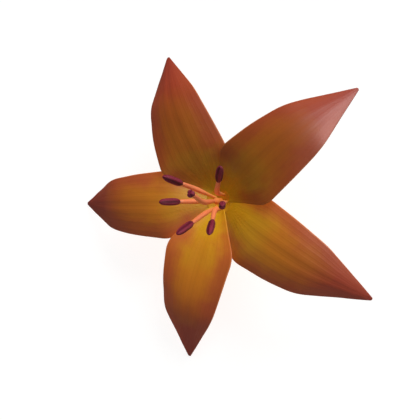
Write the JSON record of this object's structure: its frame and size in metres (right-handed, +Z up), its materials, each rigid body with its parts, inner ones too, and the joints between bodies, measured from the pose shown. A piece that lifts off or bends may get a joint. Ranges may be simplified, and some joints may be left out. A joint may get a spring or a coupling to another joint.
{
  "type": "tiger lily bloom",
  "caption": "Open lily bloom as picked, lying face up: spread pointed petals round a shallow throat, stamens, a pistil and a short cut stem.",
  "frame": {"origin": "centre of the bounding box, on the surface that the bloom lies on", "axes": "+Z up from that surface; +Y towards the two upper petals as seen from above, +X to the right"},
  "size_m": [0.1238, 0.1284, 0.0511],
  "materials": {
    "petal": "orange-red petal with a golden throat, soft satin",
    "filament": "smooth salmon-orange stalk",
    "anther": "maroon and powdery",
    "stem": "green, smooth and slightly waxy"
  },
  "bodies": {
    "root": {"petal_1": "petal", "petal_2": "petal", "petal_3": "petal", "petal_4": "petal", "petal_5": "petal", "filament_1": "filament", "filament_2": "filament", "filament_3": "filament", "filament_4": "filament", "filament_5": "filament", "filament_6": "filament", "anther_1": "anther", "anther_2": "anther", "anther_3": "anther", "anther_4": "anther", "anther_5": "anther", "anther_6": "anther", "style": "filament", "stigma": "anther", "stem": "stem"}
  },
  "joints": []
}
